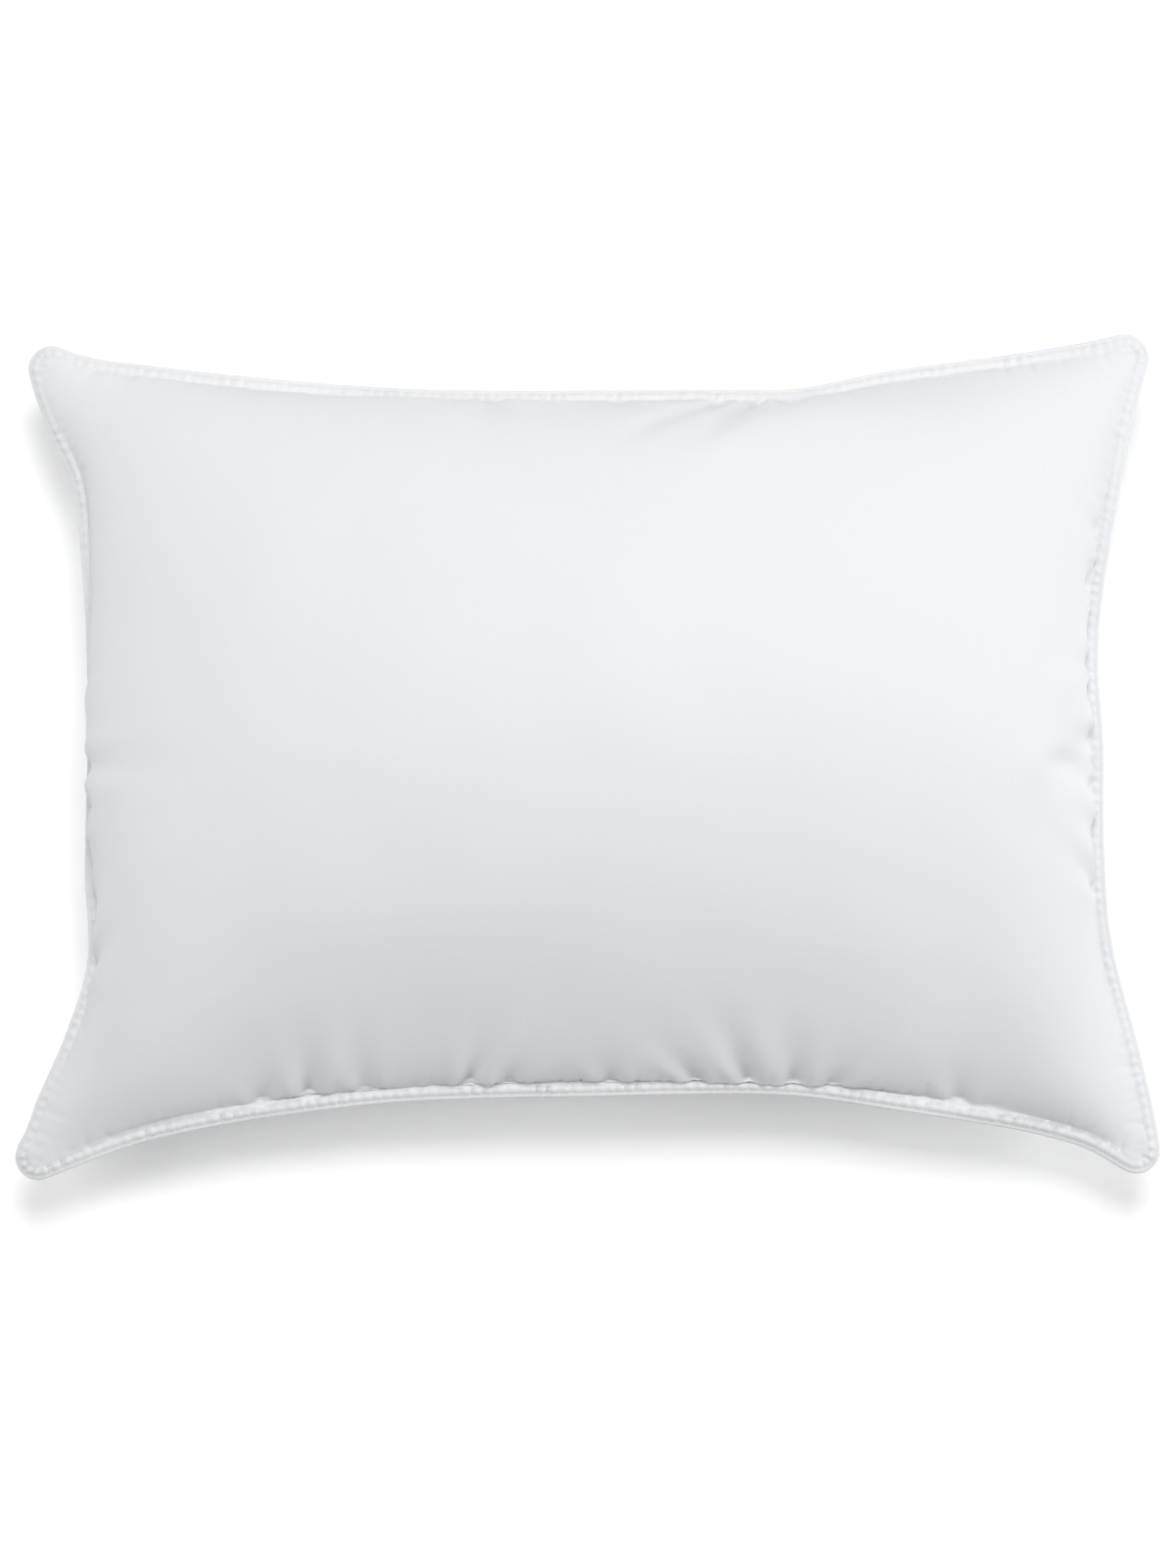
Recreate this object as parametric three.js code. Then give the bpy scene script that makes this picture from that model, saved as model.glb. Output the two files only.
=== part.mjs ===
// Bed pillow, standard size, lying flat on its back panel.
// Millimetres, +Z up, X along the length. The origin is the middle of the footprint, on the rest plane.
//
// The casing is two cloth panels. Each one is a dome with a flat welt round it, and its edge is
// turned in at the fold, so the welt is four plies thick. Two rows of lockstitch close the welt.

import * as THREE from 'three';

// Driving dimensions -----------------------------------------------------------------------------

const spanLength = 646; // ear tip to ear tip, along X
const spanWidth = 480; // ear tip to ear tip, along Y
const seamHeight = 74; // middle of each edge, above the rest plane
const earHeight = 56; // ear tips, which droop below the rest of the seam
const earDroopSharpness = 1.6; // how late along an edge its ears begin to droop
const crownHeight = 110; // top of the front panel, above the seam
const bellyDepth = 96; // back panel below the seam before its weight flattens it

const cloth = 0.4; // one ply of the casing
const clearance = 0.3; // air between pieces that touch
const weltWidth = 8; // from the foot of the dome to the outer fold
const allowanceOverlap = 1.5; // turned-in edge that reaches past the foot of the dome
const overlockWidth = 0.9; // bound raw edge
const earCore = 2.5; // radius of the fibre in the tip of an ear
const threadThickness = 0.4;
const innerRowMargin = 0.8; // inner stitch row, from the foot of the dome
const outerRowInset = 2.4; // outer stitch row, from the fold
const joiningSeamInset = 1.4; // hidden seam that joins the two panels, from the fold
const fillingOpening = 250; // gap in the joining seam, in the middle of one short side
const fillSetback = 8; // how far the fibre is drawn in from each edge
const fillSlack = 0.8; // extra air between the fibre's crown and the cloth

const lengthSteps = 16; // steps along a long edge, between its ears
const widthSteps = 12; // steps along a short edge, between its ears
const earSteps = 3; // steps along half of an ear's arc
const domeRings = 7; // rings from the foot of a dome to its middle

// How round the domes are: (1 - |u| ^ fullness) ^ shoulder in each direction.
const fullness = 2;
const shoulder = 0.46;

// Each edge bows in between its ears. A pair is [place along the edge from -1 to 1, inset in mm].
// The places run anticlockwise, and the insets are taken from the sides of the overall rectangle.
const edgeBows = {
  front: [
    [-0.83, 16], [-0.7, 28], [-0.36, 44], [0, 48],
    [0.32, 49], [0.5, 42], [0.66, 34], [0.84, 22],
  ],
  right: [
    [-0.81, 6], [-0.54, 22], [-0.33, 36], [-0.25, 33],
    [0.18, 34], [0.35, 39], [0.46, 30], [0.79, 14],
  ],
  back: [
    [-0.84, 6], [-0.68, 14], [-0.41, 27], [-0.34, 33],
    [-0.17, 32], [0.17, 33], [0.51, 27], [0.84, 14],
  ],
  left: [
    [-0.84, 9], [-0.73, 20], [-0.6, 32], [-0.18, 40], [0.2, 39],
    [0.47, 40], [0.54, 45], [0.71, 21], [0.85, 9],
  ],
};

// Each ear's own shift from its nominal corner, in plan.
const earShifts = { frontLeft: [0, 1], frontRight: [-1, 5], backRight: [-4, 1], backLeft: [4, -5] };

// Sizes that follow ------------------------------------------------------------------------------

const innerRowInset = weltWidth - innerRowMargin;
const overlockInset = weltWidth + allowanceOverlap + clearance + overlockWidth / 2;
const fillInset = overlockInset + overlockWidth / 2 + clearance;
const earRadius = fillInset + earCore;
const allowanceFace = clearance + threadThickness / 2; // inner face of a turned-in edge
const allowanceBack = allowanceFace + cloth;
const plyInside = allowanceBack + clearance;
const plyFace = plyInside + cloth; // outer face of the welt, from the seam's middle plane
const foldOuter = (plyFace - allowanceFace) / 2;
const foldInner = (plyInside - allowanceBack) / 2;
const foldMiddle = (plyFace + allowanceFace) / 2;

// Outline of the outer fold ----------------------------------------------------------------------

function earCentre(signX, signY, [shiftX, shiftY]) {
  const x = signX * (spanLength / 2 - earRadius) + shiftX;
  const y = signY * (spanWidth / 2 - earRadius) + shiftY;
  return new THREE.Vector2(x, y);
}

function longEdgePoints(bows, way) {
  return bows.map(([place, inset]) => {
    return new THREE.Vector2((way * place * spanLength) / 2, -way * (spanWidth / 2 - inset));
  });
}

function shortEdgePoints(bows, way) {
  return bows.map(([place, inset]) => {
    return new THREE.Vector2(way * (spanLength / 2 - inset), (way * place * spanWidth) / 2);
  });
}

const earCentres = [
  earCentre(-1, -1, earShifts.frontLeft),
  earCentre(1, -1, earShifts.frontRight),
  earCentre(1, 1, earShifts.backRight),
  earCentre(-1, 1, earShifts.backLeft),
];
const edgePoints = [
  longEdgePoints(edgeBows.front, 1),
  shortEdgePoints(edgeBows.right, 1),
  longEdgePoints(edgeBows.back, -1),
  shortEdgePoints(edgeBows.left, -1),
];

function direction(angle) {
  return new THREE.Vector2(Math.cos(angle), Math.sin(angle));
}

// Angle at which a line through a point touches an ear's circle. way is 1 where the outline
// arrives at the ear and -1 where it leaves.
function touchAngle(centre, point, way) {
  const offset = point.clone().sub(centre);
  return offset.angle() + way * Math.acos(earRadius / offset.length());
}

// Ear k joins the end of edge k - 1 to the start of edge k, round an arc.
const ears = earCentres.map((centre, k) => {
  const arrive = touchAngle(centre, edgePoints[(k + 3) % 4].at(-1), 1);
  const leave = touchAngle(centre, edgePoints[k][0], -1);
  const turn = THREE.MathUtils.euclideanModulo(leave - arrive, 2 * Math.PI);
  return { centre, arrive, turn };
});

// Point of an ear's arc: part is 0 where the outline arrives and 1 where it leaves.
function earPoint(ear, part) {
  const outward = direction(ear.arrive + part * ear.turn);
  const fold = outward.clone().multiplyScalar(earRadius).add(ear.centre);
  return { fold, outward };
}

// The rim, anticlockwise from the front left ear. Each edge is half of one ear's arc, a spline,
// and half of the next ear's arc. fold is a point of the outer fold and outward its direction in
// plan. u and v place it on a square that stands for the pillow, with the ears at its corners.
function makeRim() {
  const rim = [];

  edgePoints.forEach((points, side) => {
    const from = ears[side];
    const to = ears[(side + 1) % 4];
    const spline = new THREE.SplineCurve([earPoint(from, 1).fold, ...points, earPoint(to, 0).fold]);
    const firstArc = (earRadius * from.turn) / 2;
    const lastArc = (earRadius * to.turn) / 2;
    const length = firstArc + spline.getLength() + lastArc;

    function addPoint({ fold, outward }, run) {
      const place = (2 * run) / length - 1;
      const [u, v] = [[place, -1], [1, place], [-place, 1], [-1, -place]][side];
      rim.push({ fold, outward, u, v, side });
    }

    for (let k = 0; k <= earSteps; k += 1) {
      addPoint(earPoint(from, (1 + k / earSteps) / 2), (firstArc * k) / earSteps);
    }
    const steps = side % 2 === 0 ? lengthSteps : widthSteps;
    for (let k = 1; k < steps; k += 1) {
      const part = (1 - Math.cos((Math.PI * k) / steps)) / 2;
      const tangent = spline.getTangentAt(part);
      const outward = new THREE.Vector2(tangent.y, -tangent.x);
      addPoint({ fold: spline.getPointAt(part), outward }, firstArc + part * spline.getLength());
    }
    for (let k = 0; k < earSteps; k += 1) {
      addPoint(earPoint(to, k / earSteps / 2), length - lastArc * (1 - k / earSteps));
    }
  });
  return rim;
}

const rim = makeRim();

// Height of the seam's middle plane: level at the middle of each edge, drooping at the ears.
function seamLevel(u, v) {
  return seamHeight - (seamHeight - earHeight) * Math.abs(u * v) ** earDroopSharpness;
}

// A point beside the rim: inset from the fold, and height above the seam's middle plane.
function besideRim(point, inset, height) {
  const x = point.fold.x - point.outward.x * inset;
  const y = point.fold.y - point.outward.y * inset;
  return new THREE.Vector3(x, y, seamLevel(point.u, point.v) + height);
}

// A point of a dome. share is 1 at the dome's foot and 0 at its middle.
function domePoint(point, share, lift) {
  const u = point.u * share;
  const v = point.v * share;
  const foot = besideRim(point, weltWidth, 0).multiplyScalar(share);
  return foot.setZ(seamLevel(u, v) + lift(domeShape(u, v)));
}

function domeShape(u, v) {
  const rise = (1 - Math.abs(u) ** fullness) * (1 - Math.abs(v) ** fullness);
  return Math.max(rise, 0) ** shoulder;
}

// Rings crowd towards the foot of the dome, where the cloth turns most.
function ringShare(ring) {
  return Math.cos((Math.PI / 2) * (ring / domeRings));
}

// Meshes -----------------------------------------------------------------------------------------

class Body {
  constructor() {
    this.points = [];
    this.faces = [];
  }

  add(point) {
    this.points.push(point);
    return this.points.length - 1;
  }

  // Adds a ring of points, one for each point of the rim.
  ring(place) {
    return rim.map((point, k) => this.add(place(point, k)));
  }

  quad(a, b, c, d) {
    this.faces.push(a, b, c, a, c, d);
  }

  // Joins two rings. Seen from outside the body, the second one is on the left of the first.
  // An inner wall is cut along the same diagonals as the outer wall that it backs, and so is the
  // bottom of the filling, so that they stay parallel.
  strip(first, second, closed = true, inner = false) {
    const count = closed ? first.length : first.length - 1;
    for (let k = 0; k < count; k += 1) {
      const next = (k + 1) % first.length;
      if (inner) this.quad(first[next], second[next], second[k], first[k]);
      else this.quad(first[k], first[next], second[next], second[k]);
    }
  }

  // Closes a ring with a fan about one point, on the ring's left.
  fan(ring, middle) {
    ring.forEach((corner, k) => this.faces.push(corner, ring[(k + 1) % ring.length], middle));
  }

  geometry(flipped = false) {
    const geometry = new THREE.BufferGeometry();
    const positions = this.points.flatMap((point) => point.toArray());
    geometry.setAttribute('position', new THREE.Float32BufferAttribute(positions, 3));
    geometry.setIndex(flipped ? [...this.faces].reverse() : this.faces);
    geometry.computeVertexNormals();
    return geometry;
  }
}

// Joins a list of rings, each to the next.
function joinRings(body, rings, inner = false) {
  for (let k = 0; k + 1 < rings.length; k += 1) body.strip(rings[k], rings[k + 1], true, inner);
}

// One panel. side is 1 for the front panel, which is up, and -1 for the back panel.
function makePanel(side, height) {
  const body = new Body();
  const lift = (shape) => side * (plyFace + (height - plyFace) * shape);

  function outside(k, share) {
    const point = domePoint(rim[(k + rim.length) % rim.length], share, lift);
    return point.setZ(Math.max(point.z, 0));
  }

  function inside(k, ring) {
    const along = outside(k + 1, ringShare(ring)).sub(outside(k - 1, ringShare(ring)));
    const inward = outside(k, ringShare(ring + 1)).sub(outside(k, ringShare(ring - 1)));
    const upward = along.cross(inward).normalize();
    return outside(k, ringShare(ring)).addScaledVector(upward, -side * cloth);
  }

  function weltRing(inset, level) {
    return body.ring((point) => besideRim(point, inset, side * level));
  }

  const innerRings = [
    weltRing(weltWidth + cloth, plyInside),
    weltRing(foldOuter, plyInside),
    weltRing(foldOuter - foldInner, foldMiddle),
    weltRing(foldOuter, allowanceBack),
    weltRing(weltWidth + allowanceOverlap, allowanceBack),
  ];
  const outerRings = [
    weltRing(weltWidth + allowanceOverlap, allowanceFace),
    weltRing(foldOuter, allowanceFace),
    weltRing(0, foldMiddle),
    weltRing(foldOuter, plyFace),
  ];
  for (let ring = 0; ring < domeRings; ring += 1) {
    outerRings.push(body.ring((point, k) => outside(k, ringShare(ring))));
  }
  for (let ring = 1; ring < domeRings; ring += 1) {
    innerRings.unshift(body.ring((point, k) => inside(k, ring)));
  }
  const middle = outside(0, 0);
  const innerMiddle = middle.clone().setZ(middle.z - side * cloth);
  body.fan([...innerRings[0]].reverse(), body.add(innerMiddle));
  joinRings(body, innerRings, true);
  body.strip(innerRings.at(-1), outerRings[0]);
  joinRings(body, outerRings);
  body.fan(outerRings.at(-1), body.add(middle));
  return body.geometry(side < 0);
}

// The fibre filling: a smaller pillow inside the casing, clear of it all round.
function makeFill() {
  const body = new Body();
  const reachX = 1 - (2 * fillSetback) / spanLength;
  const reachY = 1 - (2 * fillSetback) / spanWidth;
  const lowest = 2 * cloth + clearance;

  function surface(point, ring, side, height) {
    const rise = height - 2 * cloth - clearance - fillSlack;
    const place = domePoint(point, ringShare(ring), (shape) => side * (cloth + rise * shape));
    return new THREE.Vector3(place.x * reachX, place.y * reachY, Math.max(place.z, lowest));
  }

  const bottomRings = [body.ring((point) => besideRim(point, fillInset, -cloth))];
  const topRings = [body.ring((point) => besideRim(point, fillInset, cloth))];
  for (let ring = 1; ring < domeRings; ring += 1) {
    bottomRings.unshift(body.ring((point) => surface(point, ring, -1, bellyDepth)));
    topRings.push(body.ring((point) => surface(point, ring, 1, crownHeight)));
  }
  body.fan([...bottomRings[0]].reverse(), body.add(surface(rim[0], domeRings, -1, bellyDepth)));
  joinRings(body, bottomRings, true);
  body.strip(bottomRings.at(-1), topRings[0]);
  joinRings(body, topRings);
  body.fan(topRings.at(-1), body.add(surface(rim[0], domeRings, 1, crownHeight)));
  return body.geometry();
}

// A cord of box section beside the rim. With no opening it is a closed ring.
function makeRun(inset, height, width, depth, opening = 0) {
  const body = new Body();
  const isOpen = ({ side, fold }) => side === 3 && Math.abs(fold.y) < opening / 2;
  const start = rim.findIndex(isOpen);
  const closed = start < 0;
  const order = closed ? rim : [...rim.slice(start), ...rim.slice(0, start)];
  const run = order.filter((point) => !isOpen(point));
  const section = [
    [inset + width / 2, height + depth / 2],
    [inset - width / 2, height + depth / 2],
    [inset - width / 2, height - depth / 2],
    [inset + width / 2, height - depth / 2],
  ];
  const rings = section.map(([place, level]) => {
    return run.map((point) => body.add(besideRim(point, place, level)));
  });
  rings.forEach((ring, k) => body.strip(rings[(k + 1) % rings.length], ring, closed));
  if (!closed) {
    const last = run.length - 1;
    body.quad(...rings.map((ring) => ring[last]));
    body.quad(...rings.map((ring) => ring[0]).reverse());
  }
  return body.geometry();
}

function stitchRow(inset, side) {
  const height = plyFace + clearance + threadThickness / 2;
  return makeRun(inset, side * height, threadThickness, threadThickness);
}

// Finishes ---------------------------------------------------------------------------------------

function cottonPercale() {
  return new THREE.MeshStandardMaterial({ color: 0xe9ebed, roughness: 0.85, metalness: 0 });
}

function sewingThread() {
  return new THREE.MeshStandardMaterial({ color: 0xf0f1f2, roughness: 0.7, metalness: 0 });
}

function polyesterFibre() {
  return new THREE.MeshStandardMaterial({ color: 0xf6f6f4, roughness: 0.95, metalness: 0 });
}

// Assembly ---------------------------------------------------------------------------------------

const pillow = new THREE.Group();

function addPart(name, geometry, material) {
  const mesh = new THREE.Mesh(geometry, material);
  mesh.name = name;
  pillow.add(mesh);
}

const overlockDepth = allowanceFace + allowanceBack;
const joiningRun = makeRun(joiningSeamInset, 0, threadThickness, threadThickness, fillingOpening);

addPart('front_panel', makePanel(1, crownHeight), cottonPercale());
addPart('back_panel', makePanel(-1, bellyDepth), cottonPercale());
addPart('fibre_fill', makeFill(), polyesterFibre());
addPart('joining_seam_thread', joiningRun, sewingThread());
addPart('overlock_thread', makeRun(overlockInset, 0, overlockWidth, overlockDepth), sewingThread());
addPart('inner_row_needle_thread', stitchRow(innerRowInset, 1), sewingThread());
addPart('inner_row_bobbin_thread', stitchRow(innerRowInset, -1), sewingThread());
addPart('outer_row_needle_thread', stitchRow(outerRowInset, 1), sewingThread());
addPart('outer_row_bobbin_thread', stitchRow(outerRowInset, -1), sewingThread());

export default pillow;
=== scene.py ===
"""Bed pillow with a twin-needle welt, lying on its back panel.

The casing is two panels of cotton percale. Each is cut flat, drawn in to the welt and blown up
over the filling by a cloth simulation. Then it gets its gathers, its welt and the thickness of its
cloth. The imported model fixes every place: the welt is traced from the outer rows of stitching.
Lengths are in metres.
"""

import logging
import math
from dataclasses import dataclass, field
from enum import Enum

import bpy
import numpy as np
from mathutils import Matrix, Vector, noise
from mathutils.kdtree import KDTree


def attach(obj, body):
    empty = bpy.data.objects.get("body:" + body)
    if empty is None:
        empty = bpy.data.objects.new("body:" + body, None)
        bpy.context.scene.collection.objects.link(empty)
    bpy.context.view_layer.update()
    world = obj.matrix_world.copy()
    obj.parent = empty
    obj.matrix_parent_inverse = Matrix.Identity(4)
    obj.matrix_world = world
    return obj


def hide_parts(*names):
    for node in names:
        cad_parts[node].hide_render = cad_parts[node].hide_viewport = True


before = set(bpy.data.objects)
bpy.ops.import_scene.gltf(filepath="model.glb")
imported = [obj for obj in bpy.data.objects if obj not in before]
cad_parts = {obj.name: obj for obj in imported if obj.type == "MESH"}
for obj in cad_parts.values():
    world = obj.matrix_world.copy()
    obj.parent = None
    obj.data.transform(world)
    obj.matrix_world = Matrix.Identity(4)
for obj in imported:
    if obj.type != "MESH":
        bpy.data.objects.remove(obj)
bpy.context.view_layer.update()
log = logging.getLogger("pillow")

Colour = tuple[float, float, float]


class Face(Enum):
    """The side of the pillow that a piece is on. The value is its direction along Z."""

    FRONT = 1
    BACK = -1


class Edge(Enum):
    """An edge of the pillow from above, in the order in which the welt runs round."""

    FRONT = 0
    RIGHT = 1
    BACK = 2
    LEFT = 3


# Mesh helpers -----------------------------------------------------------------------------------


def only(piece: bpy.types.Object) -> None:
    """Makes a piece the only selected object, and the active one."""
    bpy.ops.object.select_all(action="DESELECT")
    piece.select_set(True)
    bpy.context.view_layer.objects.active = piece


def read(
    items: bpy.types.bpy_prop_collection, name: str, kind: type = np.int32, width: int = 1
) -> np.ndarray:
    """Reads one property of all the items of a collection.

    Args:
        items: The collection.
        name: The property.
        kind: The type of its values in Blender.
        width: How many values each item has.

    Returns:
        The values, one item to a row where an item has more than one.
    """
    values = np.empty(len(items) * width, dtype=kind)
    items.foreach_get(name, values)
    return values.reshape(-1, width) if width > 1 else values


def read_points(mesh: bpy.types.Mesh) -> np.ndarray:
    """Returns the places of a mesh's vertices, one to a row."""
    return read(mesh.vertices, "co", np.float32, 3).astype(float)


def write_points(mesh: bpy.types.Mesh, points: np.ndarray) -> None:
    """Moves a mesh's vertices to the places in points."""
    mesh.vertices.foreach_set("co", points.astype(np.float32).ravel())
    mesh.update()


def read_normals(mesh: bpy.types.Mesh) -> np.ndarray:
    """Returns the normals of a mesh's vertices, one to a row."""
    return read(mesh.vertices, "normal", np.float32, 3).astype(float)


def read_vectors(mesh: bpy.types.Mesh, name: str) -> np.ndarray:
    """Returns a vector attribute of a mesh's vertices, one to a row."""
    return read(mesh.attributes[name].data, "vector", np.float32, 3).astype(float)


def write_vectors(mesh: bpy.types.Mesh, name: str, vectors: np.ndarray) -> None:
    """Writes a vector attribute of a mesh's vertices, and makes it where it is missing."""
    attribute = mesh.attributes.get(name) or mesh.attributes.new(name, "FLOAT_VECTOR", "POINT")
    attribute.data.foreach_set("vector", vectors.astype(np.float32).ravel())


def edge_ends(mesh: bpy.types.Mesh) -> np.ndarray:
    """Returns the two vertices of each edge of a mesh."""
    return read(mesh.edges, "vertices", width=2)


def open_edges(mesh: bpy.types.Mesh) -> np.ndarray:
    """Returns which edges of a mesh have only one face, as truths."""
    return np.bincount(read(mesh.loops, "edge_index"), minlength=len(mesh.edges)) == 1


def rim_of(mesh: bpy.types.Mesh) -> np.ndarray:
    """Returns the vertices on the open edge of a mesh."""
    return np.unique(edge_ends(mesh)[open_edges(mesh)])


def select(mesh: bpy.types.Mesh, chosen: np.ndarray, edges: np.ndarray | None = None) -> None:
    """Selects vertices of a mesh, and the edges and faces between them.

    Args:
        mesh: The mesh, in object mode.
        chosen: Which vertices to select, as truths.
        edges: Which edges to select. Without it, those that join two chosen vertices.
    """
    corners = read(mesh.loops, "vertex_index")
    faces = np.logical_and.reduceat(chosen[corners], read(mesh.polygons, "loop_start"))
    if edges is None:
        edges = chosen[edge_ends(mesh)].all(axis=1)
    else:
        faces[:] = False
    mesh.vertices.foreach_set("select", chosen)
    mesh.edges.foreach_set("select", edges)
    mesh.polygons.foreach_set("select", faces)


def apply_modifier(piece: bpy.types.Object, kind: str, **settings: object) -> None:
    """Adds a modifier to a piece, with its settings, and applies it."""
    modifier = piece.modifiers.new(kind.lower(), kind)
    for name, value in settings.items():
        setattr(modifier, name, value)
    only(piece)
    bpy.ops.object.modifier_apply(modifier=modifier.name)


def dress(piece: bpy.types.Object, material: bpy.types.Material, slot: str, *nodes: str) -> None:
    """Shades a finished piece smooth, gives it its finish and hands it to the frame.

    Args:
        piece: The finished piece.
        material: Its material.
        slot: Not used.
        *nodes: The CAD nodes that it stands for.
    """
    only(piece)
    bpy.ops.object.shade_smooth()
    piece.data.materials.clear()
    piece.data.materials.append(material)
    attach(piece, "root")
    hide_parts(*nodes)
    log.info("%s: %d faces", piece.name, len(piece.data.polygons))


# Finishes ---------------------------------------------------------------------------------------


class Nodes:
    """A material's node tree, with short ways to add to it."""

    def __init__(self, name: str) -> None:
        """Starts a material called name, with one Principled BSDF."""
        self.material = bpy.data.materials.new(name)
        self.material.use_nodes = True
        self.tree = self.material.node_tree
        self.shader = self.tree.nodes["Principled BSDF"]

    def add(self, kind: str, **settings: object) -> bpy.types.Node:
        """Adds a node. Settings that it has as properties are set there, others on its sockets."""
        node = self.tree.nodes.new(kind)
        for name, value in settings.items():
            if hasattr(node, name):
                setattr(node, name, value)
            else:
                node.inputs[name.replace("_", " ")].default_value = value
        return node

    def link(self, source: bpy.types.NodeSocket, target: bpy.types.NodeSocket) -> None:
        """Joins an output to an input."""
        self.tree.links.new(source, target)

    def surface(self, **constants: object) -> None:
        """Sets constants on the shader's own sockets."""
        for name, value in constants.items():
            self.shader.inputs[name.replace("_", " ")].default_value = value

    def tint(
        self, pattern: bpy.types.NodeSocket, shade: Colour, colour: Colour, low: float, high: float
    ) -> None:
        """Colours the shader by a pattern.

        Args:
            pattern: The pattern, from 0 to 1.
            shade: The colour where it is at low or under it.
            colour: The colour where it is at high or over it.
            low: Where the shade begins to give way.
            high: Where the colour is full.
        """
        ramp = self.add("ShaderNodeValToRGB")
        for stop, place, value in zip(ramp.color_ramp.elements, (low, high), (shade, colour)):
            stop.position = place
            stop.color = (*value, 1)
        self.link(pattern, ramp.inputs["Fac"])
        self.link(ramp.outputs["Color"], self.shader.inputs["Base Color"])

    def relief(self, pattern: bpy.types.NodeSocket, strength: float, depth: float) -> None:
        """Bumps the shader's surface by a pattern, depth metres deep."""
        bump = self.add("ShaderNodeBump", Strength=strength, Distance=depth)
        self.link(pattern, bump.inputs["Height"])
        self.link(bump.outputs["Normal"], self.shader.inputs["Normal"])

    def streaks(
        self, coords: bpy.types.NodeSocket, across: float, along: float
    ) -> bpy.types.NodeSocket:
        """Adds noise drawn out along the cloth's length, as threads of uneven thickness are.

        Args:
            coords: The coordinates, in metres.
            across: How wide a streak is.
            along: How long a streak is.

        Returns:
            The noise.
        """
        mapping = self.add("ShaderNodeMapping")
        mapping.inputs["Scale"].default_value = (1 / along, 1 / across, 1)
        self.link(coords, mapping.inputs["Vector"])
        streaks = self.add("ShaderNodeTexNoise", Scale=1.0, Detail=2.0, Roughness=0.5)
        self.link(mapping.outputs["Vector"], streaks.inputs["Vector"])
        return streaks.outputs["Fac"]


@dataclass(frozen=True)
class Percale:
    """White cotton percale: a plain weave of fine threads, some of them a little thicker."""

    colour: Colour = (0.713, 0.725, 0.741)
    shade: Colour = (0.702, 0.715, 0.731)
    roughness: float = 0.86
    sheen: float = 0.12
    thread: float = 0.0011
    thread_length: float = 0.035
    depth: float = 0.00006
    uv_scale: float = 0.7

    def material(self) -> bpy.types.Material:
        """Makes the cloth. Its pattern follows the panel as it was cut."""
        nodes = Nodes("cotton_percale")
        place = nodes.add("ShaderNodeUVMap", uv_map="cloth")
        metres = nodes.add("ShaderNodeMapping")
        metres.inputs["Scale"].default_value = (self.uv_scale, self.uv_scale, 1)
        nodes.link(place.outputs["UV"], metres.inputs["Vector"])
        coords = metres.outputs["Vector"]
        weft = nodes.streaks(coords, self.thread, self.thread_length)
        warp = nodes.streaks(coords, self.thread_length, self.thread)
        weave = nodes.add("ShaderNodeMix", data_type="FLOAT", Factor=0.5)
        nodes.link(weft, weave.inputs["A"])
        nodes.link(warp, weave.inputs["B"])
        nodes.tint(weave.outputs["Result"], self.shade, self.colour, 0.3, 0.62)
        nodes.relief(weave.outputs["Result"], 0.6, self.depth)
        nodes.surface(Roughness=self.roughness, Specular_IOR_Level=0.25)
        nodes.surface(Sheen_Weight=self.sheen, Sheen_Roughness=0.5)
        return nodes.material


@dataclass(frozen=True)
class SewingThread:
    """White spun sewing thread, a little brighter and glossier than the cloth."""

    colour: Colour = (0.8, 0.81, 0.82)
    shade: Colour = (0.7, 0.71, 0.725)
    roughness: float = 0.62
    depth: float = 0.00005
    twist: float = 2600.0
    unevenness: float = 1.5

    def material(self) -> bpy.types.Material:
        """Makes the thread, with the fine bands of its twist."""
        nodes = Nodes("sewing_thread")
        place = nodes.add("ShaderNodeTexCoord")
        bands = nodes.add("ShaderNodeTexWave", bands_direction="DIAGONAL", Scale=self.twist / 6)
        bands.inputs["Distortion"].default_value = self.unevenness
        nodes.link(place.outputs["Object"], bands.inputs["Vector"])
        nodes.tint(bands.outputs["Fac"], self.shade, self.colour, 0, 1)
        nodes.relief(bands.outputs["Fac"], 0.4, self.depth)
        nodes.surface(Roughness=self.roughness, Sheen_Weight=0.2)
        return nodes.material


@dataclass(frozen=True)
class FibreFill:
    """Loose white polyester fibre: a matted, cloudy surface."""

    colour: Colour = (0.86, 0.86, 0.845)
    shade: Colour = (0.74, 0.74, 0.73)
    clump: float = 0.012
    depth: float = 0.0008

    def material(self) -> bpy.types.Material:
        """Makes the filling, with clumps and the fine hairs over them."""
        nodes = Nodes("polyester_fibre")
        place = nodes.add("ShaderNodeTexCoord")
        clumps = nodes.add("ShaderNodeTexNoise", Scale=1 / self.clump, Detail=6.0, Distortion=2.5)
        hairs = nodes.add("ShaderNodeTexNoise", Scale=12 / self.clump, Detail=3.0, Distortion=4.0)
        for pattern in (clumps, hairs):
            nodes.link(place.outputs["Object"], pattern.inputs["Vector"])
        nodes.tint(clumps.outputs["Fac"], self.shade, self.colour, 0.3, 0.65)
        nodes.relief(hairs.outputs["Fac"], 0.8, self.depth)
        nodes.surface(Roughness=0.95, Sheen_Weight=0.4)
        return nodes.material


@dataclass(frozen=True)
class StudioFloor:
    """A matt white sweep, lit a little from within so that it stays paler than the pillow."""

    colour: Colour = (0.96, 0.96, 0.96)
    glow: float = 0.1

    def material(self) -> bpy.types.Material:
        """Makes the floor's paint."""
        nodes = Nodes("studio_floor")
        nodes.surface(Base_Color=(*self.colour, 1), Roughness=0.9, Specular_IOR_Level=0.1)
        nodes.surface(Emission_Color=(1, 1, 1, 1), Emission_Strength=self.glow)
        return nodes.material


# The welt ---------------------------------------------------------------------------------------


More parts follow.
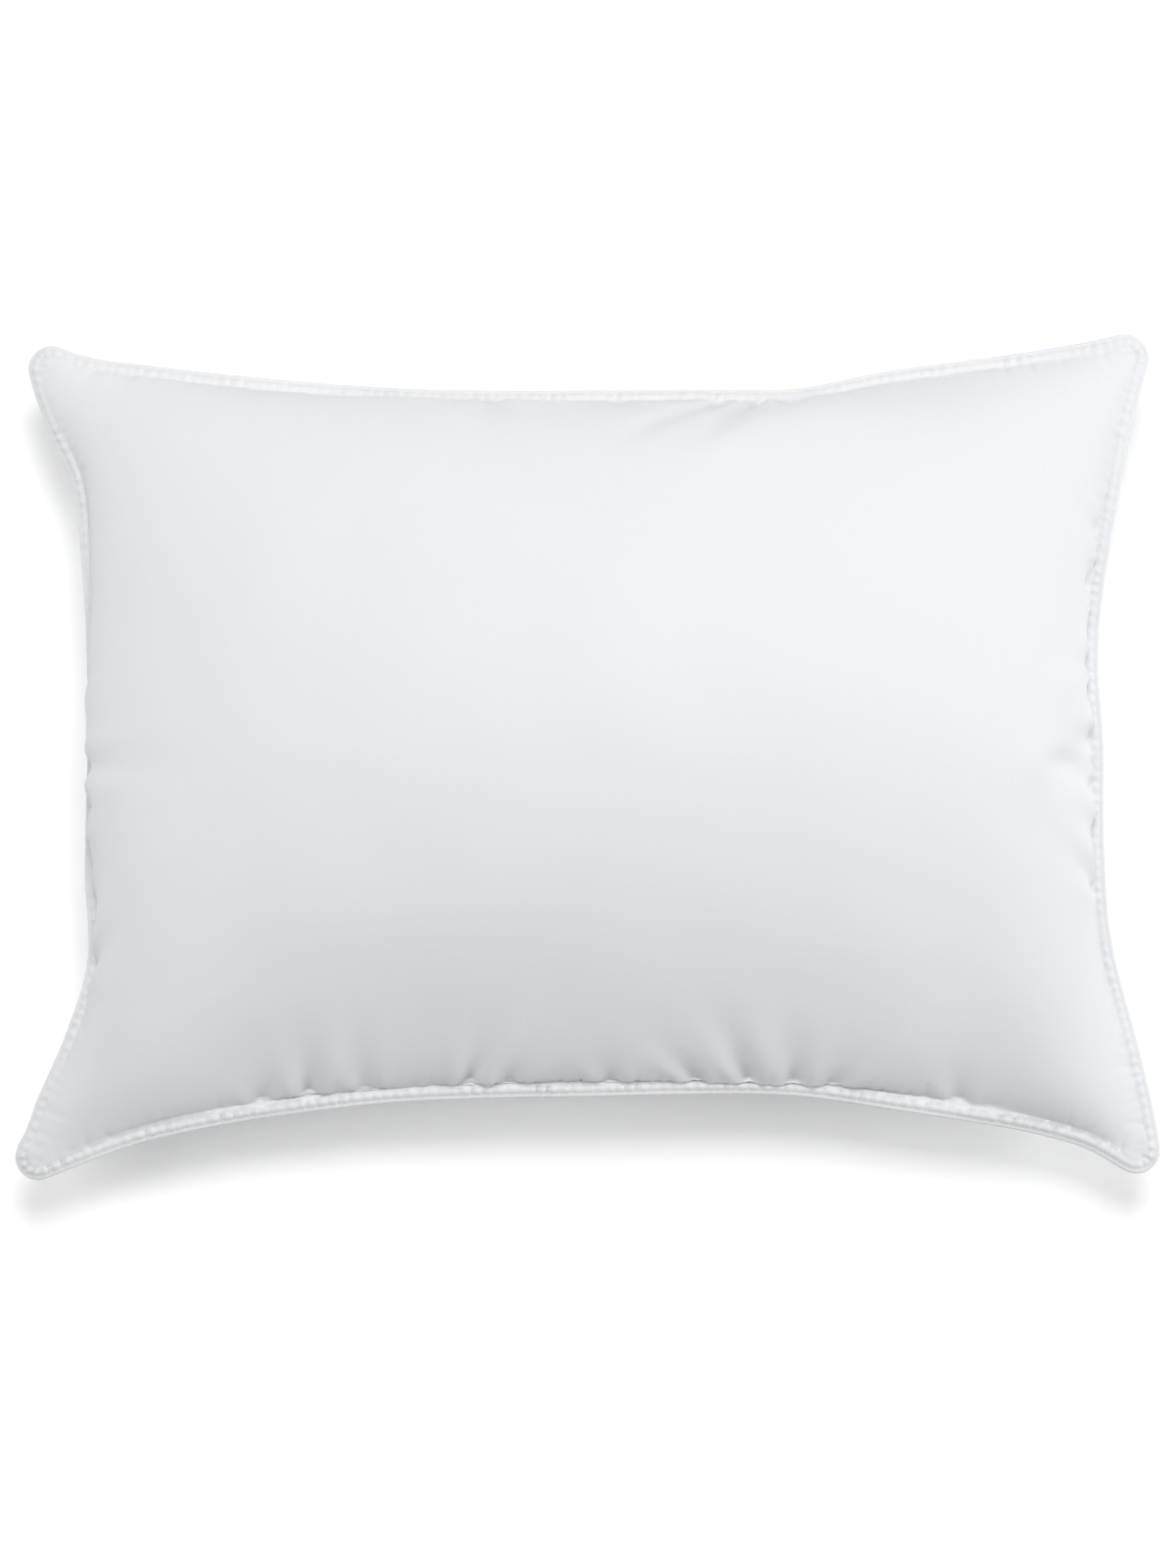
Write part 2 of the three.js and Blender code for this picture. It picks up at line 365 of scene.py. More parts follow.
def threaded_loop(points: np.ndarray, count: int) -> tuple[np.ndarray, float]:
    """Draws a smooth closed curve through points.

    Args:
        points: The points in order, one to a row.
        count: How many points to return.

    Returns:
        Points at even distances along the curve, and the curve's length.
    """
    ahead = np.roll(points, -1, axis=0) - points
    chord = np.linalg.norm(ahead, axis=1)[:, None]
    slope = ahead / chord
    chord_before = np.roll(chord, 1, axis=0)
    slope_before = np.roll(slope, 1, axis=0)
    tangent = (slope * chord_before + slope_before * chord) / (chord + chord_before)
    next_tangent = np.roll(tangent, -1, axis=0)
    curve = []
    for t in np.linspace(0, 1, 32, endpoint=False):
        bend = chord * t * (1 - t)
        blend = t * t * (3 - 2 * t)
        curve.append(points + ahead * blend + bend * ((1 - t) * tangent - t * next_tangent))
    curve = np.stack(curve, axis=1).reshape(-1, 3)
    closed = np.vstack([curve, curve[:1]])
    reached = np.append(0, np.cumsum(np.linalg.norm(np.diff(closed, axis=0), axis=1)))
    wanted = np.linspace(0, reached[-1], count, endpoint=False)
    even = [np.interp(wanted, reached, closed[:, axis]) for axis in range(3)]
    return np.stack(even, axis=1), float(reached[-1])


def waver(run: np.ndarray, waves: tuple[int, int], size: float, seed: int) -> np.ndarray:
    """Gives a random curve that closes on itself.

    Args:
        run: Places round the welt, from 0 to 1.
        waves: The fewest and the most waves in one round.
        size: About how far it strays.
        seed: Seed of the random numbers.

    Returns:
        The curve's value at each place.
    """
    rng = np.random.default_rng(seed)
    counts = rng.integers(waves[0], waves[1] + 1, size=8)
    phases = rng.uniform(0, 2 * math.pi, size=8)
    total = np.sin(2 * math.pi * np.outer(run, counts) + phases).sum(axis=1)
    return size * total / math.sqrt(8)


@dataclass
class Welt:
    """The flanged edge where the two panels are sewn together with two needles.

    A run is a place along the welt, from 0 to 1, anticlockwise from the front left ear. An inset is
    measured inwards from the outer fold. A height is above the welt's middle, on the front's side.
    """

    width: float = 0.008
    row_nodes: tuple[str, str] = ("outer_row_needle_thread", "outer_row_bobbin_thread")
    row_inset: float = 0.0024
    inner_row_inset: float = 0.0072
    joining_inset: float = 0.0014
    stitch_height: float = 0.00115
    opening: float = 0.25
    samples: int = 2400
    # How far the welt droops at its outer fold, in degrees, at places along its run.
    droops: tuple[tuple[float, float], ...] = (
        (0.0, 26), (0.05, 25), (0.14, 23), (0.24, 25), (0.29, 20), (0.39, 18),
        (0.47, 8), (0.5, 10), (0.56, 24), (0.64, 30), (0.76, 22), (0.8, 34), (0.9, 40),
    )
    length: float = field(init=False)
    foot: np.ndarray = field(init=False)
    level: np.ndarray = field(init=False)
    across: np.ndarray = field(init=False)
    up: np.ndarray = field(init=False)
    along: np.ndarray = field(init=False)
    ears: list[float] = field(init=False)

    def __post_init__(self) -> None:
        """Traces the outer stitch row and works out the welt beside it."""
        row, self.length = threaded_loop(self.trace(), self.samples)
        self.ears = [self.ear(row, *signs) for signs in ((-1, -1), (1, -1), (1, 1), (-1, 1))]
        ahead = np.roll(row, -2, axis=0) - np.roll(row, 2, axis=0)
        self.along = ahead / np.linalg.norm(ahead, axis=1)[:, None]
        level = np.stack([ahead[:, 1], -ahead[:, 0], 0 * ahead[:, 0]], axis=1)
        level /= np.linalg.norm(level, axis=1)[:, None]
        self.level = level
        run = np.arange(self.samples) / self.samples
        places, degrees = zip(*self.droops)
        droop = np.interp(run, places, degrees, period=1) + waver(run, (9, 40), 4, seed=3)
        droop = np.radians(self.evened(droop))[:, None]
        upright = np.array([[0, 0, 1.0]])
        self.across = level * np.cos(droop) - upright * np.sin(droop)
        self.up = level * np.sin(droop) + upright * np.cos(droop)
        self.foot = row - level * (self.width - self.row_inset)
        self.foot = self.foot + upright * waver(run, (6, 30), 0.0004, seed=4)[:, None]

    def trace(self) -> np.ndarray:
        """Returns the middle of the outer stitch row, from the front left ear round."""
        corners = np.vstack([read_points(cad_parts[name].data) for name in self.row_nodes])
        corners = corners[np.argsort(np.arctan2(corners[:, 1], corners[:, 0]))]
        steps = np.linalg.norm(np.diff(corners[:, :2], axis=0), axis=1)
        groups = np.split(corners, np.flatnonzero(steps > 0.0015) + 1)
        row = np.array([group.mean(axis=0) for group in groups])
        return np.roll(row, -int(np.argmax(-row[:, 0] - row[:, 1])), axis=0)

    @staticmethod
    def ear(row: np.ndarray, way_x: int, way_y: int) -> float:
        """Returns the run of the row's point furthest towards one corner."""
        span = np.ptp(row, axis=0)
        reach = way_x * row[:, 0] / span[0] + way_y * row[:, 1] / span[1]
        return int(np.argmax(reach)) / len(row)

    @staticmethod
    def evened(values: np.ndarray, reach: int = 40) -> np.ndarray:
        """Returns a closed list of values with its corners rounded off."""
        window = np.hanning(2 * reach + 1)
        wrapped = np.concatenate([values[-reach:], values, values[:reach]])
        return np.convolve(wrapped, window / window.sum(), mode="valid")

    def sample(self, table: np.ndarray, run: np.ndarray) -> np.ndarray:
        """Returns the rows of a table of the welt's samples, at places between them too."""
        at = np.asarray(run) % 1 * self.samples
        low = np.floor(at).astype(int)
        part = (at - low)[:, None]
        return table[low % self.samples] * (1 - part) + table[(low + 1) % self.samples] * part

    def place(self, run: np.ndarray, inset: float, height: float | np.ndarray) -> np.ndarray:
        """Gives points of the welt.

        Args:
            run: Places along it.
            inset: How far in from the outer fold.
            height: How far above the welt's middle, one for all or one for each place.

        Returns:
            The points, one to a row.
        """
        across = self.sample(self.across, run) * (self.width - inset)
        up = self.sample(self.up, run) * np.reshape(height, (-1, 1))
        return self.sample(self.foot, run) + across + up

    def stretch(self, edge: Edge) -> tuple[float, float]:
        """Returns the runs of the two ears that an edge lies between. The second may pass 1."""
        start = self.ears[edge.value]
        end = self.ears[(edge.value + 1) % 4]
        return start, end if end > start else end + 1

    def run_at(self, edge: Edge, place: float) -> float:
        """Returns the run of a place on an edge, given by its X or, on a short edge, its Y."""
        start, end = self.stretch(edge)
        runs = np.linspace(start, end, 1500)
        axis = 0 if edge in (Edge.FRONT, Edge.BACK) else 1
        return float(runs[np.argmin(np.abs(self.sample(self.foot, runs)[:, axis] - place))])

    def opening_runs(self) -> tuple[float, float]:
        """Returns the runs between which the joining seam is left open for the filling."""
        return self.run_at(Edge.LEFT, self.opening / 2), self.run_at(Edge.LEFT, -self.opening / 2)

    def nearest(self, points: np.ndarray) -> tuple[np.ndarray, np.ndarray]:
        """Finds where the foot of the welt comes nearest to each point.

        Returns:
            The runs, and the distances.
        """
        tree = KDTree(self.samples)
        for index, place in enumerate(self.foot):
            tree.insert(place, index)
        tree.balance()
        index = np.array([tree.find(point)[1] for point in points])
        offset = points - self.foot[index]
        step = np.einsum("ij,ij->i", offset, self.along[index])
        run = index / self.samples + step / self.length
        beside = offset - self.along[index] * step[:, None]
        return run, np.linalg.norm(beside, axis=1)


# The casing -------------------------------------------------------------------------------------


@dataclass(frozen=True)
class Gather:
    """A fold that runs from the welt into a panel.

    place is its X, or its Y on a short edge, where it leaves the welt. reach is how far it runs,
    depth how deep it is, breadth how wide, and lean how much it slants towards +X or +Y.
    """

    edge: Edge
    place: float
    reach: float
    depth: float
    lean: float = 0.0
    breadth: float = 0.0045


def gathers_on(edge: Edge, *rows: tuple[float, ...]) -> tuple[Gather, ...]:
    """Makes the gathers of one edge from their places, reaches, depths, leans and breadths."""
    return tuple(Gather(edge, *row) for row in rows)


FRONT_GATHERS = (
    *gathers_on(
        Edge.FRONT,
        (-0.183, 0.020, 0.0010, 0.3), (-0.156, 0.045, 0.0017, 0.12), (-0.124, 0.048, 0.0010, 0.0),
        (-0.067, 0.045, 0.0019, 0.3), (-0.045, 0.020, 0.0012, 0.2), (0.013, 0.024, 0.0012, -0.1),
        (0.063, 0.032, 0.0013, -0.6), (0.091, 0.045, 0.0018, -0.35),
        (0.116, 0.042, 0.0015, -0.12), (0.136, 0.022, 0.0012, 0.2), (0.208, 0.030, 0.0010, -0.25),
    ),
    *gathers_on(
        Edge.RIGHT,
        (0.126, 0.030, 0.0010, 0.1), (0.096, 0.018, 0.0022, 0.0, 0.006),
        (0.050, 0.050, 0.0012, 0.0), (0.034, 0.030, 0.0010, 0.0), (0.009, 0.035, 0.0012, -0.1),
        (-0.018, 0.048, 0.0013, 0.15), (-0.046, 0.032, 0.0012, 0.3), (-0.078, 0.045, 0.0014, 0.6),
    ),
    *gathers_on(
        Edge.BACK,
        (0.115, 0.016, 0.0024, 0.0, 0.006), (0.098, 0.034, 0.0014, -0.7),
        (0.074, 0.016, 0.0012, -0.4), (0.016, 0.022, 0.0010, 0.3), (-0.054, 0.036, 0.0015, 0.0),
    ),
    *gathers_on(
        Edge.LEFT,
        (0.038, 0.022, 0.0012, 0.3), (-0.008, 0.060, 0.0014, 0.0), (-0.036, 0.026, 0.0012, 0.4),
        (-0.085, 0.020, 0.0010, 0.3), (-0.122, 0.036, 0.0018, 0.5),
    ),
)

BACK_GATHERS = (
    *gathers_on(
        Edge.FRONT,
        (-0.150, 0.045, 0.0016, 0.2), (-0.118, 0.030, 0.0012, -0.2), (-0.030, 0.042, 0.0018, 0.1),
        (0.022, 0.026, 0.0012, 0.0), (0.094, 0.048, 0.0017, -0.3), (0.150, 0.030, 0.0012, -0.1),
    ),
    *gathers_on(
        Edge.RIGHT,
        (0.090, 0.040, 0.0016, -0.2), (0.020, 0.046, 0.0015, 0.1), (-0.060, 0.038, 0.0016, 0.4),
    ),
    *gathers_on(
        Edge.BACK,
        (0.120, 0.040, 0.0016, -0.4), (0.050, 0.030, 0.0012, -0.1), (-0.040, 0.046, 0.0017, 0.1),
        (-0.135, 0.036, 0.0015, 0.4),
    ),
    *gathers_on(
        Edge.LEFT,
        (0.070, 0.038, 0.0015, -0.2), (-0.010, 0.046, 0.0017, 0.1), (-0.080, 0.032, 0.0014, 0.4),
    ),
)


@dataclass
class Panel:
    """One panel of the casing, from the flat cut to the sewn edge."""

    face: Face
    node: str
    welt: Welt
    gathers: tuple[Gather, ...]
    dome_length: float = 0.636
    dome_width: float = 0.484
    corner: float = 0.006
    cell: float = 0.0072
    foot_height: float = 0.0014
    cloth: float = 0.0003
    allowance: float = 0.0095
    ease: float = 0.35
    ease_spread: float = 0.006
    pressure: float = 15.0
    shear: float = 0.5
    bending: float = 1.0
    pucker_gap: float = 0.0062
    pucker_depth: float = 0.0011
    gather_depth: float = 1.7
    gather_zone: float = 0.11
    pucker_zone: float = 0.03
    lump: float = 0.0012
    lumps_per_metre: float = 16
    ruffle: float = 0.0018
    fine_reach: float = 0.016
    # How far the dome's sides are pressed back over the welt, at places along its run.
    presses: tuple[tuple[float, float], ...] = (
        (0.0, 0.002), (0.04, 0.010), (0.14, 0.013), (0.25, 0.010), (0.29, 0.001), (0.34, 0.003),
        (0.39, -0.003), (0.46, 0.0), (0.5, 0.001), (0.64, 0.002), (0.79, 0.001), (0.9, -0.004),
    )
    press_height: float = 0.016
    press_reach: float = 0.05
    ear_reach: float = 0.19
    ear_strength: float = 1.6
    ear_smoothing: int = 90
    # How far the dome settles towards the front edge, 0 for not at all, how far behind the edge it
    # starts, and where to the sides it stops: the middle's X, the distance from it, and the fade.
    settling: float = 0.0
    settle_reach: float = 0.25
    settle_sides: tuple[float, float, float] = (0.01, 0.31, 0.12)
    # The welt's section, from the foot of the dome to the cut edge: inset, height, and how much
    # of the puckers it shows.
    section: tuple[tuple[float, float, float], ...] = (
        (0.0072, 0.0010, 0.2), (0.0063, 0.0015, 1.0), (0.0048, 0.0018, 1.0),
        (0.0033, 0.0015, 0.5), (0.0024, 0.0010, 0.1), (0.0016, 0.0014, 0.3),
        (0.0007, 0.0014, 0.2), (0.0001, 0.0009, 0.0), (0.0001, 0.0004, 0.0),
        (0.0009, 0.00012, 0.0), (0.0095, 0.00012, 0.0),
    )

    def build(self, material: bpy.types.Material) -> tuple[bpy.types.Object, bpy.types.Object]:
        """Makes the panel.

        Returns:
            The finished panel, and a copy of its dome as it stood when it came off the filling.
        """
        panel = self.cut()
        self.stuff(panel)
        self.press(panel)
        self.smooth_ears(panel)
        if self.settling:
            self.settle(panel)
        only(panel)
        bpy.ops.object.duplicate()
        dome = bpy.context.object
        dome.name = self.node + "_dome"
        self.refine(panel)
        self.gather(panel)
        self.fold_welt(panel)
        self.finish(panel)
        dress(panel, material, "casing", self.node)
        return panel, dome

    def cut(self) -> bpy.types.Object:
        """Cuts the panel out flat, at the height of the welt, with its corners rounded."""
        bpy.ops.object.select_all(action="DESELECT")
        bpy.ops.mesh.primitive_grid_add(
            x_subdivisions=round(self.dome_length / self.cell),
            y_subdivisions=round(self.dome_width / self.cell),
            size=1,
            location=(0, 0, 0),
        )
        panel = bpy.context.object
        panel.name = self.node + "_cloth"
        bpy.ops.object.mode_set(mode="EDIT")
        bpy.ops.mesh.select_all(action="SELECT")
        bpy.ops.transform.resize(value=(self.dome_length, self.dome_width, 1))
        if self.face is Face.BACK:
            bpy.ops.mesh.flip_normals()
        bpy.ops.object.mode_set(mode="OBJECT")
        points = read_points(panel.data)
        straight = np.array([self.dome_length, self.dome_width]) / 2 - self.corner
        over = np.abs(points[:, :2]) - straight
        round_off = (over > 0).all(axis=1)
        reach = over[round_off]
        length = np.linalg.norm(reach, axis=1)[:, None]
        reach = reach * reach.max(axis=1)[:, None] / length
        points[round_off, :2] = np.copysign(straight + reach, points[round_off, :2])
        write_vectors(panel.data, "flat", points)
        crown = np.cos(math.pi * points[:, 0] / self.dome_length)
        crown *= np.cos(math.pi * points[:, 1] / self.dome_width)
        points[:, 2] = self.welt.foot[:, 2].max() + self.face.value * 0.002 * crown
        write_points(panel.data, points)
        return panel

    def sewn_runs(self, flat: np.ndarray) -> np.ndarray:
        """Finds where each point of the dome's cut edge is sewn to the welt.

        More cloth is eased in where there are gathers, so that the dome folds there by itself.

        Args:
            flat: The points on the flat cut.

        Returns:
            Their runs.
        """
        half = np.array([self.dome_length, self.dome_width]) / 2
        over = np.abs(flat[:, :2]) - half
        long_edge = over[:, 1] > over[:, 0]
        front = flat[:, 1] < 0
        right = flat[:, 0] > 0
        edges = np.where(long_edge, np.where(front, 0, 2), np.where(right, 1, 3))
        tuck = self.corner * (1 - math.sqrt(0.5))
        runs = np.empty(len(flat))
        for edge in Edge:
            way = 1 if edge in (Edge.FRONT, Edge.RIGHT) else -1
            axis = 0 if edge in (Edge.FRONT, Edge.BACK) else 1
            here = edges == edge.value
            part = way * flat[here, axis] / (2 * (half[axis] - tuck)) + 0.5
            start, end = self.welt.stretch(edge)
            places = np.linspace(start, end, 600)
            cloth = np.ones(len(places))
            for gather in self.gathers:
                if gather.edge is edge:
                    off = (places - self.welt.run_at(edge, gather.place)) * self.welt.length
                    share = self.ease * gather.depth / 0.0015
                    cloth += share * np.exp(-((off / self.ease_spread) ** 2))
            used = np.append(0, np.cumsum((cloth[1:] + cloth[:-1]) / 2))
            runs[here] = np.interp(part, used / used[-1], places)
        return runs

    def foot(self, run: np.ndarray) -> np.ndarray:
        """Returns the points where the dome meets the welt."""
        return self.welt.place(run, self.welt.width, self.face.value * self.foot_height)

    def stuff(self, panel: bpy.types.Object) -> None:
        """Blows the panel up over its filling, while its edge is drawn in to the welt."""
        scene = bpy.context.scene
        frames, drawn_in = ((52, 26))
        rim = rim_of(panel.data)
        sewn = read_points(panel.data)
        sewn[rim] = self.foot(self.sewn_runs(read_vectors(panel.data, "flat")[rim]))
        panel.shape_key_add(name="cut")
        key = panel.shape_key_add(name="sewn")
        key.data.foreach_set("co", sewn.astype(np.float32).ravel())
        key.value = 0
        key.keyframe_insert("value", frame=1)
        key.value = 1
        key.keyframe_insert("value", frame=drawn_in)
        panel.vertex_groups.new(name="seam").add(rim.tolist(), 1, "REPLACE")
        cloth = panel.modifiers.new("stuffing", "CLOTH")
        settings = cloth.settings
        settings.vertex_group_mass = "seam"
        settings.quality = 6
        settings.mass = 0.02
        settings.bending_model = "ANGULAR"
        settings.tension_stiffness = settings.compression_stiffness = 80
        settings.shear_stiffness = self.shear
        settings.bending_stiffness = self.bending
        settings.tension_damping = settings.compression_damping = settings.shear_damping = 5
        settings.bending_damping = 0.5
        settings.use_pressure = True
        settings.uniform_pressure_force = self.pressure
        settings.effector_weights.gravity = 0
        settings.air_damping = 1
        cloth.collision_settings.use_self_collision = False
        cloth.collision_settings.use_collision = self.face is Face.BACK
        cloth.collision_settings.distance_min = 0.001
        cloth.point_cache.frame_start = 1
        cloth.point_cache.frame_end = frames
        bench = self.bench() if self.face is Face.BACK else None
        for number in range(1, frames + 1):
            scene.frame_set(number)
        only(panel)
        bpy.ops.object.convert(target="MESH")
        panel.vertex_groups.clear()
        for action in list(bpy.data.actions):
            bpy.data.actions.remove(action)
        if bench is not None:
            bpy.data.objects.remove(bench)
        scene.frame_set(1)
        points = read_points(panel.data)
        low, high = points[:, 2].min(), points[:, 2].max()
        if self.face is Face.BACK:
            points[:, 2] -= low * (1 - points[:, 2] / high)
            write_points(panel.data, points)
        log.info("%s: stuffed, from %.3f to %.3f high", self.node, low, high)

    @staticmethod
    def bench() -> bpy.types.Object:
        """Adds the table top that the back panel is pressed against while it is stuffed."""
        bpy.ops.object.select_all(action="DESELECT")
        bpy.ops.mesh.primitive_plane_add(size=2, location=(0, 0, 0))
        bench = bpy.context.object
        bench.modifiers.new("top", "COLLISION")
        bench.collision.thickness_outer = 0.001
        return bench

    def press(self, panel: bpy.types.Object) -> None:
        """Presses the dome's sides back over the welt where they hang out too far."""
        points = read_points(panel.data)
        run, distance = self.welt.nearest(points)
        rise = self.face.value * (points - self.welt.sample(self.welt.foot, run))[:, 2]
        rise = np.maximum(rise, 0) / self.press_height
        places, amounts = zip(*self.presses)
        push = np.interp(run % 1, places, amounts, period=1) * rise * np.exp(1 - rise)
        push *= np.exp(-((distance / self.press_reach) ** 2))
        points -= self.welt.sample(self.welt.level, run) * push[:, None]
        write_points(panel.data, points)

    def smooth_ears(self, panel: bpy.types.Object) -> None:
        """Smooths the folds that fan out from the ears."""
        points = read_points(panel.data)
        ears = self.welt.sample(self.welt.foot, np.array(self.welt.ears))
        away = np.linalg.norm(points[:, None, :2] - ears[None, :, :2], axis=2).min(axis=1)
        weights = np.clip(self.ear_strength * (1 - away / self.ear_reach), 0, 1)
        weights[rim_of(panel.data)] = 0
        group = panel.vertex_groups.new(name="ears")
        for index in np.flatnonzero(weights > 0):
            group.add([int(index)], float(weights[index]), "REPLACE")
        smoothing = {"factor": 0.5, "iterations": self.ear_smoothing}
        apply_modifier(panel, "SMOOTH", vertex_group=group.name, **smoothing)
        panel.vertex_groups.clear()

    def settle(self, panel: bpy.types.Object) -> None:
        """Lets the filling settle away from the front edge, so that the dome slopes down to it."""
        start, end = self.welt.stretch(Edge.FRONT)
        foot = self.welt.sample(self.welt.foot, np.linspace(start, end, 400))
        foot = foot[np.argsort(foot[:, 0])]
        points = read_points(panel.data)
        behind = points[:, 1] - np.interp(points[:, 0], foot[:, 0], foot[:, 1])
        behind = np.clip(behind / self.settle_reach, 0.003, 1)
        lost = 1 - (1 - (1 - behind) ** 2) ** self.settling
        middle, stop, fade = self.settle_sides
        aside = np.clip((stop - np.abs(points[:, 0] - middle)) / fade, 0, 1)
        lost *= aside**2 * (3 - 2 * aside)
        seam = np.interp(points[:, 0], foot[:, 0], foot[:, 2])
        points[:, 2] -= lost * np.maximum(points[:, 2] - seam, 0)
        write_points(panel.data, points)

    def refine(self, panel: bpy.types.Object) -> None:
        """Divides the cloth finely enough for its puckers, and puts its rim on the welt again."""
        apply_modifier(panel, "SUBSURF", levels=1, render_levels=1)
        mesh = panel.data
        distance = self.welt.nearest(read_points(mesh))[1]
        select(mesh, distance < self.fine_reach)
        only(panel)
        bpy.ops.object.mode_set(mode="EDIT")
        bpy.ops.mesh.subdivide(number_cuts=1, smoothness=0)
        bpy.ops.object.mode_set(mode="OBJECT")
        rim = rim_of(mesh)
        points = read_points(mesh)
        points[rim] = self.foot(self.sewn_runs(read_vectors(mesh, "flat")[rim]))
        write_points(mesh, points)

    def gather(self, panel: bpy.types.Object) -> None:
        """Presses the gathers, the stitching's puckers and the filling's lumps into the dome."""
        mesh = panel.data
        points = read_points(mesh)
        run, distance = self.welt.nearest(points)
        lumps = [noise.noise(Vector(point) * self.lumps_per_metre) for point in points]
        raised = np.array(lumps) * self.lump
        near = distance < self.gather_zone
        raised[near] += self.gathered(run[near], distance[near])
        raised *= np.clip(distance / 0.004, 0, 1) ** 1.5
        fine = distance < self.pucker_zone
        raised[fine] += self.puckered(run[fine], distance[fine])
        points += read_normals(mesh) * raised[:, None]
        rise = self.face.value * (points - self.welt.sample(self.welt.foot, run))[:, 2]
        points[:, 2] -= self.face.value * np.minimum(rise, 0) * fine
        points[:, 2] = np.maximum(points[:, 2], 0)
        write_points(mesh, points)

    def gathered(self, run: np.ndarray, distance: np.ndarray) -> np.ndarray:
        """Returns how far the gathers raise the cloth at places beside the welt."""
        raised = np.zeros(len(run))
        for gather in self.gathers:
            way = 1 if gather.edge in (Edge.FRONT, Edge.RIGHT) else -1
            off = run - self.welt.run_at(gather.edge, gather.place)
            off = (off - np.round(off)) * self.welt.length * way - gather.lean * distance
            off /= gather.breadth * (1 + distance / gather.reach)
            fold = np.exp(-(off**2)) - 0.55 * np.exp(-((off - 1.7) ** 2))
            fold -= 0.45 * np.exp(-((off + 1.7) ** 2))
            fade = np.exp(-1.4 * (distance / gather.reach) ** 2)
            raised -= self.gather_depth * gather.depth * fold * fade
        return raised

    def puckered(self, run: np.ndarray, distance: np.ndarray) -> np.ndarray:
        """Returns how far the small puckers beside the stitching raise the cloth."""
        rng = np.random.default_rng(11 if self.face is Face.FRONT else 12)
        count = round(self.welt.length / self.pucker_gap)
        places = (np.arange(count) + rng.uniform(-0.28, 0.28, count)) / count
        depths = self.pucker_depth * rng.uniform(0.25, 1.3, count)
        reaches = rng.uniform(0.003, 0.008, count) * (1 + 0.6 * (rng.random(count) > 0.8))
        leans = rng.uniform(-0.25, 0.25, count)
        raised = np.zeros(len(run))
        nearest = np.round(run * count).astype(int)
        for step in (-1, 0, 1):
            pucker = (nearest + step) % count
            off = run - places[pucker]
            off = (off - np.round(off)) * self.welt.length - leans[pucker] * distance
            dent = np.exp(-((off / 0.0016) ** 2)) * np.exp(-distance / reaches[pucker])
            raised -= depths[pucker] * dent
        return raised * np.clip(distance / 0.0006, 0, 1)

    def fold_welt(self, panel: bpy.types.Object) -> None:
        """Folds the welt out from the dome and turns its allowance in, one row at a time."""
        mesh = panel.data
        rim = rim_of(mesh)
        runs = np.zeros((len(mesh.vertices), 3))
        runs[rim, 0] = self.sewn_runs(read_vectors(mesh, "flat")[rim])
        write_vectors(mesh, "run", runs)
        mesh.update()
        inset_before = self.welt.width
        for inset, height, share in self.section:
            rim = np.zeros(len(mesh.vertices), dtype=bool)
            rim[rim_of(mesh)] = True
            select(mesh, rim, open_edges(mesh))
            only(panel)
            bpy.ops.object.mode_set(mode="EDIT")
            bpy.ops.mesh.select_mode(type="EDGE")
            bpy.ops.mesh.extrude_edges_move()
            bpy.ops.object.mode_set(mode="OBJECT")
            row = rim_of(mesh)
            run = read_vectors(mesh, "run")[row, 0]
            points = read_points(mesh)
            raised = self.face.value * (height + share * self.ruffled(run))
            points[row] = self.welt.place(run, inset, raised)
            write_points(mesh, points)
            flat = read_vectors(mesh, "flat")
            flat[row] += self.outward(flat[row]) * math.hypot(inset - inset_before, 0.0004)
            write_vectors(mesh, "flat", flat)
            inset_before = inset

    def ruffled(self, run: np.ndarray) -> np.ndarray:
        """Returns how far the puckers of the stitching raise the welt between its two rows."""
        count = round(self.welt.length / self.pucker_gap)
        phase = 2 * math.pi * count * run + waver(run, (20, 90), 1.2, seed=6)
        strength = self.ruffle * (1 + waver(run, (12, 60), 0.35, seed=7))
        return strength * (np.abs(np.sin(phase / 2)) ** 0.7 - 0.6)

    def outward(self, flat: np.ndarray) -> np.ndarray:
        """Returns the direction straight out of the flat cut at points of its edge."""
        straight = np.array([self.dome_length, self.dome_width]) / 2 - self.corner
        over = np.maximum(np.abs(flat[:, :2]) - straight, 0) * np.sign(flat[:, :2])
        over /= np.linalg.norm(over, axis=1)[:, None] + 1e-9
        return np.column_stack([over, np.zeros(len(over))])

    def finish(self, panel: bpy.types.Object) -> None:
        """Gives the cloth its thickness, and a UV map that follows the flat cut."""
        mesh = panel.data
        apply_modifier(panel, "SOLIDIFY", thickness=self.cloth, offset=-1, use_rim=True)
        points = read_points(mesh)
        points[:, 2] = np.maximum(points[:, 2], 0)
        write_points(mesh, points)
        corners = read(mesh.loops, "vertex_index")
        flat = read_vectors(mesh, "flat")[corners, :2] / Percale.uv_scale + 0.5
        while mesh.uv_layers:
            mesh.uv_layers.remove(mesh.uv_layers[0])
        layer = mesh.uv_layers.new(name="cloth")
        layer.data.foreach_set("uv", flat.astype(np.float32).ravel())
        for name in ("flat", "run"):
            mesh.attributes.remove(mesh.attributes[name])

    def flat_size(self) -> tuple[float, float]:
        """Returns the panel's cut size, with the welt and the turned-in allowance."""
        edge = 2 * (self.welt.width + self.allowance)
        return self.dome_width + edge, self.dome_length + edge


# The filling ------------------------------------------------------------------------------------


